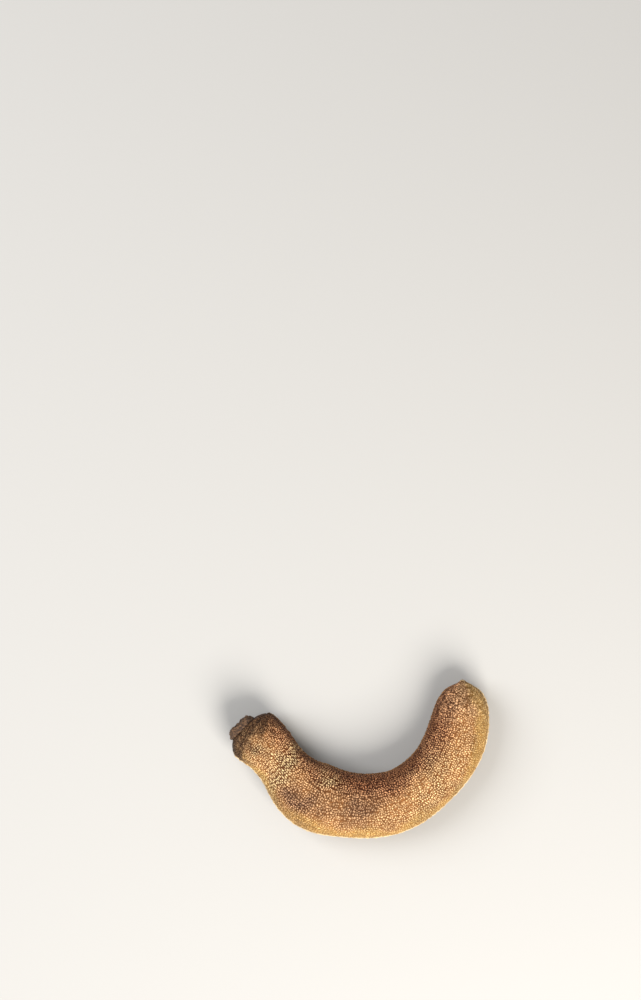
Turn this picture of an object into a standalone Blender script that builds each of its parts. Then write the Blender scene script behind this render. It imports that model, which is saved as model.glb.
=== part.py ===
"""A tamarind pod, as picked: a curved shell grown in one piece, and the short broken stub of its stalk.

The pod lies on its side on a flat surface, on three small flats under its seeds. X runs along the chord of
its bend, from the stalk end to the beak end, Y points into the hollow of the bend and Z is up. The origin is
the middle of its outline, on the surface that it rests on.

Lengths are in millimetres, and become metres where the meshes are made.
"""

import math

import bpy
import numpy as np
from mathutils import Vector, noise

METRES_PER_MM = 0.001

# Landmarks from the stalk end to the beak end, in millimetres:
#   x, y       where the middle of the pod runs, seen from above
#   width      from the inner seam to the outer seam
#   thickness  from the underside to the top
#   lift       height of the underside above the surface. Below 0 the pod is flat there and rests on it
LANDMARKS = (
    # x, y, width, thickness, lift
    (-41.6, 11.9, 20.4, 16.4, 1.2),
    (-38.8, 9.2, 20.0, 16.9, 0.2),
    (-35.5, 6.6, 19.4, 17.2, -0.3),
    (-28.4, -1.6, 17.9, 16.4, 0.9),
    (-18.3, -12.0, 23.4, 18.8, 0.7),
    (-2.7, -16.8, 22.5, 19.8, -0.2),
    (11.9, -15.7, 22.1, 19.2, 0.6),
    (24.8, -7.8, 20.4, 18.4, 0.7),
    (34.6, 6.6, 21.2, 18.2, -0.2),
    (37.2, 21.1, 17.6, 15.8, 0.5),
    (37.3, 27.4, 15.2, 13.2, 1.4),
)
STALK_CAP = 6.0  # length over which the stalk end rounds off
BEAK_CAP = 10.0  # length over which the beak end rounds off
CAP_POWER = 2.2  # 2 is an ellipse, and more is blunter

# The mesh of the shell.
SIDES = 44
RING_STEP = 1.15
CAP_RINGS = 9
STALK_CAP_START = 36  # degrees from the very end of the rounding to its first ring
BEAK_CAP_START = 24
SHARP_ANGLE = 50

# What stands out of the shell, or is sunk into it.
SEED_SPACING = 13.4
FIRST_SEED = 11.5
SEED_LENGTH = 4.6
SEED_BULGE = 0.45
SEAM_HEIGHT = 0.4
SEAM_WIDTH = 1.3
WRINKLE_STEP = 2.9
WRINKLE_DEPTH = 0.3
WRINKLE_REACH = 7.0
WAIST_PLACE = 20.8
WAIST_REACH = 5.0
CREASE_DEPTH = 0.16
CREASES_AROUND = 11
GRAIN_HEIGHT = 0.34  # the highest of the shell's grains, which stand in slanting rows
GRAIN_SPREAD = 0.5  # share of that height that varies from grain to grain
SMOOTH_BESIDE_SEAM = 2.4
DENT_SIZE = 15.0
DENT_DEPTH = 0.35
WARP_SIZE = 5.0  # how far apart the wrinkles and creases wander
WRINKLE_WARP = 1.6
CREASE_WARP = 2.0
RANDOM_SEED = 7

# The socket that the stalk leaves in the shell. Places count from the very end of the pod.
SOCKET_SHIFT = 1.0  # how far it lies from the middle of the end, towards the outer seam
SOCKET_RADIUS = 3.9
SOCKET_TAPER = 0.1
SOCKET_FLOOR = 2.1
SOCKET_RIM = 0.8
LIP_PLACE = 0.45
LIP_RADIUS = 4.4

# The stub: a neck in the socket, with a hairline of room, under a wider crust with a broken top.
STUB_GAP = 0.3
STUB_SIDES = 24
STUB_HEIGHT = 3.8
NECK_RADIUS = SOCKET_RADIUS - SOCKET_TAPER - STUB_GAP
NECK_EDGE = 0.3
NECK_TOP = 1.55
CRUST_RADIUS = 4.8
LUMP_HEIGHT = 0.55
LUMP_SIZE = 1.5

# The beak: the small hard point that the flower's style leaves on the far end.
BEAK_RADIUS = 1.5
BEAK_HEIGHT = 1.1
BEAK_RINGS = (0.5, 1.0, 1.6, 2.3, 3.2)

# Finishes: linear colours and roughness from 0 to 1.
SHELL_COLOUR = (0.42, 0.245, 0.115)
SHELL_ROUGHNESS = 0.7
STALK_COLOUR = (0.075, 0.048, 0.032)
STALK_ROUGHNESS = 0.95


def clear_scene():
    """Removes what the scene starts with."""
    for obj in list(bpy.data.objects):
        bpy.data.objects.remove(obj, do_unlink=True)


def natural_spline(knots, values):
    """A function that runs smoothly through values at knots, straight at both ends."""
    knots = np.asarray(knots, float)
    values = np.asarray(values, float)
    step = np.diff(knots)
    slope = np.diff(values) / step
    system = np.eye(len(knots))
    right = np.zeros(len(knots))
    for i in range(1, len(knots) - 1):
        system[i, i - 1 : i + 2] = step[i - 1], 2 * (step[i - 1] + step[i]), step[i]
        right[i] = 6 * (slope[i] - slope[i - 1])
    bend = np.linalg.solve(system, right)

    def value_at(place):
        place = np.asarray(place, float)
        i = np.clip(np.searchsorted(knots, place) - 1, 0, len(step) - 1)
        after = (place - knots[i]) / step[i]
        before = 1 - after
        curve = (before**3 - before) * bend[i] + (after**3 - after) * bend[i + 1]
        return before * values[i] + after * values[i + 1] + curve * step[i] ** 2 / 6

    return value_at


class PodForm:
    """The smooth form of the pod: every size at any place along it, measured from the stalk end."""

    def __init__(self, landmarks):
        x, y, width, thickness, lift = np.array(landmarks, float).T
        places = np.concatenate([[0], np.cumsum(np.hypot(np.diff(x), np.diff(y)))])
        self.length = places[-1]
        self.x = natural_spline(places, x)
        self.y = natural_spline(places, y)
        self.width = natural_spline(places, width)
        self.thickness = natural_spline(places, thickness)
        self.lift = natural_spline(places, lift)

    def along(self, place):
        """Unit vectors along the pod, in the plane of its bend."""
        step = 0.01
        ahead = np.stack([self.x(place + step), self.y(place + step)], -1)
        behind = np.stack([self.x(place - step), self.y(place - step)], -1)
        way = ahead - behind
        return way / np.linalg.norm(way, axis=-1, keepdims=True)

    def outward(self, place):
        """Unit vectors level across the pod, towards its outer seam."""
        way = self.along(place)
        return np.stack([way[..., 1], -way[..., 0], np.zeros(np.shape(place))], -1)

    def end_rounding(self, place):
        """Share of the full size, which falls to nothing at each end."""
        from_end = np.minimum(place / STALK_CAP, (self.length - place) / BEAK_CAP)
        short_of_full = 1 - np.clip(from_end, 0, 1)
        return (1 - short_of_full**CAP_POWER) ** (1 / CAP_POWER)

    def middle(self, place):
        """Points in the middle of the pod."""
        height = self.lift(place) + self.thickness(place) / 2
        return np.stack([self.x(place), self.y(place), height], -1)

    def surface(self, place, angle, half_width, half_thickness):
        """Points round the pod. Angle 0 is the outer seam, and a quarter turn on is the top."""
        across = self.outward(place) * (half_width * np.cos(angle))[..., None]
        up = np.array([0, 0, 1]) * (half_thickness * np.sin(angle))[..., None]
        return self.middle(place) + across + up


def cap_places(cap, smallest_angle):
    """Distances from an end at which its rings stand, closer together near the tip."""
    angles = np.linspace(smallest_angle, math.pi / 2, CAP_RINGS)
    return cap * (1 - np.cos(angles))


def ring_places(form):
    """Places of all the rings, from the rim of the socket to the last one before the beak's."""
    stalk = cap_places(STALK_CAP, math.radians(STALK_CAP_START))
    beak = form.length - cap_places(BEAK_CAP, math.radians(BEAK_CAP_START))[::-1]
    count = round((beak[0] - stalk[-1]) / RING_STEP)
    body = np.linspace(stalk[-1], beak[0], count + 1)[1:-1]
    return np.concatenate([stalk, body, beak])


def outward_normals(points):
    """Unit normals of a grid of points, one row for each ring."""
    around = np.roll(points, -1, axis=1) - np.roll(points, 1, axis=1)
    along = np.gradient(points, axis=0)
    normal = np.cross(along, around)
    return normal / np.linalg.norm(normal, axis=-1, keepdims=True)


def skin_points(form, place, angle):
    """Where each point would be if the pod were straight, so that patterns follow its length."""
    radius = form.width(place) * form.end_rounding(place) / 2
    return np.stack([place, radius * np.cos(angle), radius * np.sin(angle)], -1)


def noise_over(skin, size):
    """Smooth noise over the skin, between -1 and 1, whose lumps are about one size across."""
    values = [noise.noise(Vector(p) / size) for p in skin.reshape(-1, 3)]
    return np.array(values).reshape(skin.shape[:-1])


def grain_heights(shape):
    """Grains on every second point of the mesh, which makes slanting rows, each a little higher or lower."""
    rings, sides = shape
    raised = (np.arange(rings)[:, None] + np.arange(sides)) % 2 == 0
    spread = np.random.default_rng(RANDOM_SEED).random(shape)
    return GRAIN_HEIGHT * raised * (1 - GRAIN_SPREAD * spread)


def relief(form, place, angle):
    """How far each point of the shell stands out from the smooth form, in millimetres."""
    skin = skin_points(form, place, angle)
    warp = noise_over(skin, WARP_SIZE)
    dents = DENT_DEPTH * noise_over(skin, DENT_SIZE)

    seed_phase = (place - FIRST_SEED) / SEED_SPACING
    from_seed = (seed_phase - np.round(seed_phase)) * SEED_SPACING
    seeds = SEED_BULGE * np.exp(-((from_seed / SEED_LENGTH) ** 2)) * np.abs(np.sin(angle))

    from_seam = np.abs(np.sin(angle)) * form.width(place) * form.end_rounding(place) / 2
    seam = SEAM_HEIGHT * np.exp(-((from_seam / SEAM_WIDTH) ** 2))
    grains = grain_heights(place.shape) * (1 - np.exp(-((from_seam / SMOOTH_BESIDE_SEAM) ** 2)))

    wrinkle_turn = 2 * math.pi * (place + WRINKLE_WARP * warp) / WRINKLE_STEP
    wrinkles = -WRINKLE_DEPTH * (0.5 + 0.5 * np.cos(wrinkle_turn)) * np.exp(-place / WRINKLE_REACH)

    at_waist = np.exp(-(((place - WAIST_PLACE) / WAIST_REACH) ** 2))
    crease_turn = CREASES_AROUND * angle + CREASE_WARP * warp
    creases = -CREASE_DEPTH * at_waist * (0.5 + 0.5 * np.cos(crease_turn))

    return grains + dents + seeds + seam + wrinkles + creases


def grid_faces(rings, sides, first=0):
    """Quads that join each ring to the next."""
    faces = []
    for ring in range(rings - 1):
        for side in range(sides):
            here = first + ring * sides
            after = (side + 1) % sides
            faces.append((here + side, here + sides + side, here + sides + after, here + after))
    return faces


def closing_fan(centre, ring_start, sides, facing_back):
    """Triangles from a ring to a point in its middle."""
    faces = []
    for side in range(sides):
        here = ring_start + side
        after = ring_start + (side + 1) % sides
        faces.append((centre, here, after) if facing_back else (centre, after, here))
    return faces


def closed_object(name, rings, start, end, material):
    """An object made of rings of points in millimetres, closed by a point at each end."""
    count, sides = rings.shape[:2]
    points = np.concatenate([rings.reshape(-1, 3), [start, end]]) * METRES_PER_MM
    faces = grid_faces(count, sides)
    faces += closing_fan(count * sides, 0, sides, True)
    faces += closing_fan(count * sides + 1, (count - 1) * sides, sides, False)
    mesh = bpy.data.meshes.new(name)
    mesh.from_pydata([tuple(p) for p in points], [], faces)
    mesh.materials.append(material)
    mesh.shade_smooth()
    mesh.set_sharp_from_angle(angle=math.radians(SHARP_ANGLE))
    obj = bpy.data.objects.new(name, mesh)
    bpy.context.scene.collection.objects.link(obj)
    return obj


def plain_material(name, colour, roughness):
    """A Principled material of one colour."""
    material = bpy.data.materials.new(name)
    material.use_nodes = True
    shader = material.node_tree.nodes["Principled BSDF"]
    shader.inputs["Base Color"].default_value = (*colour, 1)
    shader.inputs["Roughness"].default_value = roughness
    shader.inputs["Metallic"].default_value = 0.0
    material.diffuse_color = (*colour, 1)
    return material


def socket_middle(form, place):
    """The point in the middle of the socket at a place along the pod."""
    place = np.array(place)
    return form.middle(place) + SOCKET_SHIFT * form.outward(place)


def socket_rings(form, angle):
    """The stalk's socket, from the edge of its floor out to its lip."""
    profile = (
        # place along the pod, radius
        (SOCKET_FLOOR, SOCKET_RADIUS - SOCKET_TAPER),
        (SOCKET_RIM, SOCKET_RADIUS),
        (LIP_PLACE, LIP_RADIUS),
    )
    rings = []
    for distance, radius in profile:
        place = np.full(SIDES, distance)
        size = np.full(SIDES, radius)
        ring = form.surface(place, angle, size, size)
        rings.append(ring + SOCKET_SHIFT * form.outward(place))
    return np.stack(rings)


def beak_rings(form, angle):
    """The rings of the beak end, inside the last ring of the shell, rising to the beak."""
    rings = []
    for radius in reversed(BEAK_RINGS):
        share = radius / (float(form.width(form.length)) / 2)
        from_tip = BEAK_CAP * (1 - (1 - share**CAP_POWER) ** (1 / CAP_POWER))
        rise = BEAK_HEIGHT * math.exp(-((radius / BEAK_RADIUS) ** 4))
        place = np.full(SIDES, form.length - from_tip + rise)
        size = np.full(SIDES, radius)
        flatness = float(form.thickness(form.length) / form.width(form.length))
        rings.append(form.surface(place, angle, size, size * flatness))
    return np.stack(rings)


def make_shell(form):
    """The pod's shell: rings from the socket at the stalk end to the beak, each point moved out by the relief."""
    turn = np.arange(SIDES) * 2 * math.pi / SIDES
    place, angle = np.meshgrid(ring_places(form), turn, indexing="ij")
    rounding = form.end_rounding(place)
    half_width = form.width(place) * rounding / 2
    half_thickness = form.thickness(place) * rounding / 2
    smooth = form.surface(place, angle, half_width, half_thickness)
    body = smooth + outward_normals(smooth) * relief(form, place, angle)[..., None]
    rings = np.concatenate([socket_rings(form, turn), body, beak_rings(form, turn)])
    rings[..., 2] = np.maximum(rings[..., 2], 0)
    floor_middle = socket_middle(form, SOCKET_FLOOR)
    beak_tip = form.middle(np.array(form.length + BEAK_HEIGHT))
    material = plain_material("shell", SHELL_COLOUR, SHELL_ROUGHNESS)
    return closed_object("pod", rings, floor_middle, beak_tip, material)


def make_stub(form):
    """The stalk's stub: a neck in the socket under a low, rough crust, dished where the stalk broke off."""
    turn = np.arange(STUB_SIDES) * 2 * math.pi / STUB_SIDES
    way = np.array([*form.along(np.array(0.0)), 0.0])
    sideways = form.outward(np.array(0.0))
    up = np.array([0.0, 0.0, 1.0])
    foot = socket_middle(form, SOCKET_FLOOR - STUB_GAP)
    profile = (
        # height above the foot, radius, share of the roughness
        (0.0, NECK_RADIUS - NECK_EDGE, 0.0),
        (NECK_EDGE, NECK_RADIUS, 0.0),
        (NECK_TOP, NECK_RADIUS, 0.0),
        (NECK_TOP + 0.4, CRUST_RADIUS - 0.3, 0.3),
        (NECK_TOP + 1.0, CRUST_RADIUS, 0.8),
        (STUB_HEIGHT - 0.4, CRUST_RADIUS - 0.3, 1.0),
        (STUB_HEIGHT, CRUST_RADIUS * 0.76, 1.0),
        (STUB_HEIGHT - 0.2, CRUST_RADIUS * 0.5, 1.0),
        (STUB_HEIGHT - 0.6, CRUST_RADIUS * 0.24, 0.6),
    )
    rings = []
    for height, radius, share in profile:
        ring = []
        for angle in turn:
            round_about = math.cos(angle) * sideways + math.sin(angle) * up
            spot = Vector(round_about * radius + way * height) / LUMP_SIZE
            outward = radius + share * LUMP_HEIGHT * noise.noise(spot)
            ragged = height + share * LUMP_HEIGHT * noise.noise(spot.yzx)
            ring.append(foot - way * ragged + round_about * outward)
        rings.append(ring)
    tip = foot - way * (STUB_HEIGHT - 0.7)
    material = plain_material("stalk", STALK_COLOUR, STALK_ROUGHNESS)
    return closed_object("stalk_stub", np.array(rings[::-1]), tip, foot, material)


def main():
    clear_scene()
    form = PodForm(LANDMARKS)
    make_shell(form)
    make_stub(form)


main()
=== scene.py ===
"""The looks of a tamarind pod: its grainy shell and the woody stub of its stalk, on a pale floor.

Laid out as a Blender add-on: one operator for each piece and one for the stage, which main() calls
in order. The pod lies on its side. X runs along the chord of its bend, from the stalk end to the
beak end, Y points into the hollow of the bend and Z is up. Forms are worked out in millimetres, and
become metres in the meshes.
"""

import math

import bpy
import numpy as np
from bpy.props import FloatProperty, FloatVectorProperty, IntProperty, PointerProperty
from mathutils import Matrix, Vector, noise


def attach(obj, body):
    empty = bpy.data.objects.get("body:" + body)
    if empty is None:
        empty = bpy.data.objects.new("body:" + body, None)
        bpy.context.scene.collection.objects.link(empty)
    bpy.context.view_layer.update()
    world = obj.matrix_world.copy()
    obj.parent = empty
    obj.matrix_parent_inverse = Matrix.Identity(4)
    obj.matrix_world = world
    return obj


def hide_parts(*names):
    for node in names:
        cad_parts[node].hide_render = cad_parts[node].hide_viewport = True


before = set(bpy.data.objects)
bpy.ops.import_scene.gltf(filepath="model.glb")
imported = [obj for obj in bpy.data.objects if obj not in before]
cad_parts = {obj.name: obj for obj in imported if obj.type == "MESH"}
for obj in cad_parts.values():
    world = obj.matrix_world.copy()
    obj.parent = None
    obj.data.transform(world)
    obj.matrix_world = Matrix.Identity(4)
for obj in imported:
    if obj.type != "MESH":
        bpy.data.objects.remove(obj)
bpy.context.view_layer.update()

bl_info = {
    "name": "Tamarind pod",
    "version": (1, 0, 0),
    "blender": (4, 5, 0),
    "location": "3D View > Sidebar > Tamarind",
    "description": "Builds a tamarind pod with its stalk stub, and a plain stage to show it on",
    "category": "Add Mesh",
}

MM = 0.001
BODY = "root"

# Landmarks of the solids, from the stalk end to the beak end, in millimetres: where the middle of the
# pod runs seen from above, its width from seam to seam, its thickness, and the height of its underside.
LANDMARKS = (
    # x, y, width, thickness, lift
    (-41.6, 11.9, 20.4, 16.4, 1.2),
    (-38.8, 9.2, 20.0, 16.9, 0.2),
    (-35.5, 6.6, 19.4, 17.2, -0.3),
    (-28.4, -1.6, 17.9, 16.4, 0.9),
    (-18.3, -12.0, 23.4, 18.8, 0.7),
    (-2.7, -16.8, 22.5, 19.8, -0.2),
    (11.9, -15.7, 22.1, 19.2, 0.6),
    (24.8, -7.8, 20.4, 18.4, 0.7),
    (34.6, 6.6, 21.2, 18.2, -0.2),
    (37.2, 21.1, 17.6, 15.8, 0.5),
    (37.3, 27.4, 15.2, 13.2, 1.4),
)
STALK_CAP = 6.0
BEAK_CAP = 10.0
CAP_POWER = 2.2

# The camera looks straight down: the pixels of its view's middle and of the pod's origin.
PHOTO_SIZE = (641, 1000)
VIEW_PIXEL = (320.5, 500.0)
ORIGIN_PIXEL = (358.9, 758.9)
MM_PER_PIXEL = 0.36
POD_MID_HEIGHT = 10.0 * MM


def linear(red, green, blue):
    """A linear colour from one given as 0 to 255 on a screen."""
    shares = [value / 255 for value in (red, green, blue)]
    return tuple(v / 12.92 if v <= 0.04045 else ((v + 0.055) / 1.055) ** 2.4 for v in shares)


def colour_property(name, description, screen_colour):
    """A colour setting whose default is a screen colour."""
    return FloatVectorProperty(
        name=name, description=description, subtype="COLOR", min=0, max=1, default=linear(*screen_colour)
    )


def length_property(name, description, millimetres):
    """A length setting in metres."""
    return FloatProperty(name=name, description=description, unit="LENGTH", default=millimetres * MM)


class ShellSettings(bpy.types.PropertyGroup):
    """Sizes of what stands out of the shell."""

    grain_rows: IntProperty(name="Grain rows", description="Grain rows round the pod", default=82, min=8)
    grain_height: length_property("Grain height", "How far the grains stand out", 0.16)
    seam_height: length_property("Seam height", "How far the two seams stand out", 0.55)
    seed_bulge: length_property("Seed bulge", "How far the shell swells over each seed", 0.45)
    wrinkle_depth: length_property("Wrinkle depth", "Depth of the wrinkles at the stalk end", 0.4)
    beak_height: length_property("Beak height", "Height of the small point on the far end", 1.1)


class ShellColours(bpy.types.PropertyGroup):
    """Colours of the shell, for the crests of its grains and for the gaps between them."""

    crest: colour_property("Grains", "Grains on top and underneath", (246, 200, 145))
    gap: colour_property("Gaps", "Gaps on top and underneath", (130, 85, 44))
    # On the side of the hollow the red-brown is the shell's own, and its dark gaps are partly painted
    # shade.
    inner_crest: colour_property("Inner grains", "Grains on the side of the hollow", (250, 188, 134))
    inner_gap: colour_property("Inner gaps", "Gaps on the side of the hollow", (68, 29, 7))
    # Painted shade: deep in the hollow the grains and gaps are darkened as if in shadow.
    crook_shade_crest: colour_property("Crook grains", "Grains deep in the hollow", (166, 114, 74))
    crook_shade_gap: colour_property("Crook gaps", "Gaps deep in the hollow", (58, 26, 8))
    rim_crest: colour_property("Rim grains", "Grains beside the outer seam", (225, 187, 122))
    rim_gap: colour_property("Rim gaps", "Gaps beside the outer seam", (148, 109, 56))
    # The pale clouds are partly paler skin and partly painted highlight on the grains, with darker gaps
    # between.
    pale_crest: colour_property("Pale grains", "Grains where the shell is bright", (255, 222, 164))
    pale_gap: colour_property("Pale gaps", "Gaps where the shell is bright", (72, 36, 6))
    dusk_crest: colour_property("Dusky grains", "Grains in the purple-brown clouds", (184, 140, 106))
    dusk_gap: colour_property("Dusky gaps", "Gaps in the purple-brown clouds", (56, 31, 14))
    rust_crest: colour_property("Rusty grains", "Grains in the red-brown clouds", (210, 143, 98))
    rust_gap: colour_property("Rusty gaps", "Gaps in the red-brown clouds", (50, 20, 4))
    # The outer seam's pale line is partly the seam's own colour and partly a painted highlight along the
    # edge.
    outer_seam_and_edge_light: colour_property("Outer seam", "The thin pale line of the outer seam", (226, 200, 158))
    inner_seam: colour_property("Inner seam", "The olive line of the inner seam", (134, 102, 66))
    # Brown of the bare skin round the stalk, made darker partly as painted shade; the beak's painted
    # shadow and pit use it too.
    end_brown_and_shade: colour_property("Stalk end", "Bare, wrinkled skin round the stalk", (33, 16, 5))


class StubSettings(bpy.types.PropertyGroup):
    """Size and colours of the stalk's stub."""

    lump_height: length_property("Lump height", "How far the crust's lumps stand out", 0.55)
    pale: colour_property("Pale wood", "Weathered fibres", (119, 87, 59))
    dark: colour_property("Dark wood", "Cracks and torn wood", (36, 20, 10))


class StageSettings(bpy.types.PropertyGroup):
    """The floor, the lights and the camera."""

    camera_height: length_property("Camera height", "Height of the camera above the floor", 1510.0)
    floor_size: length_property("Floor size", "Width of the square floor", 8000.0)
    floor_colour: colour_property("Floor", "Colour of the floor", (160, 158, 155))
    key_power: FloatProperty(
        name="Key light", description="Power of the key light", unit="POWER", default=13.4
    )
    sky_strength: FloatProperty(name="Sky", description="Strength of the even light", default=0.52)


def natural_spline(knots, values):
    """A function that runs smoothly through values at knots, straight at both ends."""
    knots = np.asarray(knots, float)
    values = np.asarray(values, float)
    step = np.diff(knots)
    slope = np.diff(values) / step
    system = np.eye(len(knots))
    right = np.zeros(len(knots))
    for i in range(1, len(knots) - 1):
        system[i, i - 1 : i + 2] = step[i - 1], 2 * (step[i - 1] + step[i]), step[i]
        right[i] = 6 * (slope[i] - slope[i - 1])
    bend = np.linalg.solve(system, right)

    def value_at(place):
        place = np.asarray(place, float)
        i = np.clip(np.searchsorted(knots, place) - 1, 0, len(step) - 1)
        after = (place - knots[i]) / step[i]
        before = 1 - after
        curve = (before**3 - before) * bend[i] + (after**3 - after) * bend[i + 1]
        return before * values[i] + after * values[i + 1] + curve * step[i] ** 2 / 6

    return value_at


class PodForm:
    """The smooth form of the pod, at any place along it from the stalk end."""

    def __init__(self, landmarks):
        x, y, width, thickness, lift = np.array(landmarks, float).T
        places = np.concatenate([[0], np.cumsum(np.hypot(np.diff(x), np.diff(y)))])
        self.length = places[-1]
        self.x = natural_spline(places, x)
        self.y = natural_spline(places, y)
        self.width = natural_spline(places, width)
        self.thickness = natural_spline(places, thickness)
        self.lift = natural_spline(places, lift)

    def along(self, place):
        """Unit vectors along the pod, in the plane of its bend."""
        step = 0.01
        ahead = np.stack([self.x(place + step), self.y(place + step)], -1)
        behind = np.stack([self.x(place - step), self.y(place - step)], -1)
        way = ahead - behind
        return way / np.linalg.norm(way, axis=-1, keepdims=True)

    def outward(self, place):
        """Unit vectors level across the pod, towards its outer seam."""
        way = self.along(place)
        return np.stack([way[..., 1], -way[..., 0], np.zeros(np.shape(place))], -1)

    def end_rounding(self, place):
        """Share of the full size, which falls to nothing at each end."""
        from_end = np.minimum(place / STALK_CAP, (self.length - place) / BEAK_CAP)
        short_of_full = 1 - np.clip(from_end, 0, 1)
        return (1 - short_of_full**CAP_POWER) ** (1 / CAP_POWER)

    def middle(self, place):
        """Points in the middle of the pod."""
        height = self.lift(place) + self.thickness(place) / 2
        return np.stack([self.x(place), self.y(place), height], -1)

    def surface(self, place, angle, half_width, half_thickness):
        """Points round the pod. Angle 0 is the outer seam, and a quarter turn on is the top."""
        across = self.outward(place) * (half_width * np.cos(angle))[..., None]
        up = np.array([0, 0, 1]) * (half_thickness * np.sin(angle))[..., None]
        return self.middle(place) + across + up


FORM = PodForm(LANDMARKS)


def hump(distance, width):
    """A smooth rise to 1 where distance is 0, about as wide as width on each side."""
    return np.exp(-((distance / width) ** 2))


def ease(value, start, end):
    """A smooth step from 0 at start to 1 at end."""
    share = np.clip((value - start) / (end - start), 0, 1)
    return share * share * (3 - 2 * share)


def noise_over(points, size, offset=(0, 0, 0)):
    """Smooth noise over points, from -1 to 1, in lumps about one size across."""
    shift = Vector(offset)
    values = [noise.noise(Vector(p) / size + shift) for p in points.reshape(-1, 3)]
    return np.array(values).reshape(points.shape[:-1])


def outward_normals(points):
    """Unit normals of a grid of points, one row for each ring."""
    around = np.roll(points, -1, axis=1) - np.roll(points, 1, axis=1)
    along = np.gradient(points, axis=0)
    normal = np.cross(along, around)
    return normal / np.linalg.norm(normal, axis=-1, keepdims=True)


def ring_mesh(name, rings, start, end):
    """A closed mesh of rings of points in millimetres, with a point that closes each end."""
    count, sides = rings.shape[:2]
    points = np.concatenate([rings.reshape(-1, 3), [start, end]]) * MM
    here = np.arange(sides)
    after = (here + 1) % sides
    first = np.arange(count - 1)[:, None] * sides
    quads = np.stack([first + here, first + sides + here, first + sides + after, first + after], -1)
    last = (count - 1) * sides
    start_fan = np.stack([np.full(sides, count * sides), here, after], -1)
    end_fan = np.stack([np.full(sides, count * sides + 1), last + after, last + here], -1)
    mesh = bpy.data.meshes.new(name)
    faces = quads.reshape(-1, 4).tolist() + start_fan.tolist() + end_fan.tolist()
    mesh.from_pydata(points.tolist(), [], faces)
    mesh.shade_smooth()
    return mesh


def place_piece(mesh, material, node):
    """Adds a mesh to the scene as the piece that stands for a node of the frame."""
    mesh.materials.append(material)
    piece = bpy.data.objects.new(mesh.name, mesh)
    bpy.context.scene.collection.objects.link(piece)
    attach(piece, BODY)
    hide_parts(node)
    return piece


# The sockets of a Mix node that take its two colours, and the one that gives the result.
MIX_FIRST = 6
MIX_SECOND = 7
MIX_RESULT = 2


class Sheet:
    """The node tree of a material, with short ways to add nodes and join them."""

    def __init__(self, name):
        self.material = bpy.data.materials.new(name)
        self.material.use_nodes = True
        self.tree = self.material.node_tree
        self.shader = self.tree.nodes["Principled BSDF"]

    def feed(self, socket, value):
        """Joins a socket to another, or sets its own value."""
        if isinstance(value, bpy.types.NodeSocket):
            self.tree.links.new(value, socket)
        elif value is not None:
            socket.default_value = value

    def add(self, kind, inputs=(), **settings):
        """A node with its settings, and its inputs by name or number."""
        node = self.tree.nodes.new(kind)
        for key, value in settings.items():
            setattr(node, key, value)
        for key, value in dict(inputs).items():
            self.feed(node.inputs[key], value)
        return node

    def maths(self, operation, *values):
        """The result of one sum."""
        return self.add("ShaderNodeMath", dict(enumerate(values)), operation=operation).outputs[0]

    def field(self, name):
        """A value stored on the mesh."""
        return self.add("ShaderNodeAttribute", attribute_name=name).outputs["Fac"]

    def step(self, value, start, end, low=0.0, high=1.0):
        """A smooth step of value, from low at start to high at end."""
        inputs = {"Value": value, "From Min": start, "From Max": end, "To Min": low, "To Max": high}
        node = self.add("ShaderNodeMapRange", inputs, interpolation_type="SMOOTHSTEP")
        return node.outputs["Result"]

    def mix(self, share, first, second, blend="MIX"):
        """A mix of two colours."""
        node = self.add("ShaderNodeMix", data_type="RGBA", blend_type=blend)
        self.feed(node.inputs["Factor"], share)
        self.feed(node.inputs[MIX_FIRST], opaque(first))
        self.feed(node.inputs[MIX_SECOND], opaque(second))
        return node.outputs[MIX_RESULT]

    def between(self, share, first, second):
        """A mix of two values."""
        node = self.add("ShaderNodeMix", {0: share, 2: first, 3: second}, data_type="FLOAT")
        return node.outputs[0]

    def shade(self, colour, value):
        """A colour made darker or lighter by a value."""
        grey = self.add("ShaderNodeCombineColor", {0: value, 1: value, 2: value}).outputs[0]
        return self.mix(1.0, colour, grey, "MULTIPLY")

    def noise(self, where, lump_size, detail=2.0, roughness=0.5):
        """Noise in lumps about one size across, in millimetres."""
        scale = 1 / (lump_size * MM)
        inputs = {"Vector": where, "Scale": scale, "Detail": detail, "Roughness": roughness}
        return self.add("ShaderNodeTexNoise", inputs).outputs["Fac"]

    def swing(self, noise_value, low, high, spread=0.2):
        """Noise, which keeps near a half, spread out from low to high."""
        return self.step(noise_value, 0.5 - spread, 0.5 + spread, low, high)

    def patches(self, where, size, detail, low, high, spread=0.2, roughness=0.5):
        """Noise in patches about one size across, spread out from low to high."""
        return self.swing(self.noise(where, size, detail, roughness), low, high, spread)

    def dress(self, colour, height):
        """Gives the shader its colour, and bumps of a height in millimetres."""
        bump = self.add("ShaderNodeBump", {"Strength": 1.0, "Distance": MM, "Height": height})
        self.feed(self.shader.inputs["Base Color"], colour)
        self.feed(self.shader.inputs["Normal"], bump.outputs[0])


def opaque(colour):
    """A colour setting with its alpha, or a socket as it is."""
    return colour if isinstance(colour, bpy.types.NodeSocket) else (*tuple(colour)[:3], 1.0)


# The shell's mesh. Its columns follow the rows of grains, a few to each.
COLUMNS_PER_ROW = 2
RING_STEP = 0.24
STALK_CAP_RINGS = 26
BEAK_CAP_RINGS = 36
STALK_CAP_START = 36  # in degrees, where the rings of each rounded end begin
BEAK_CAP_START = 24

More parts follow.
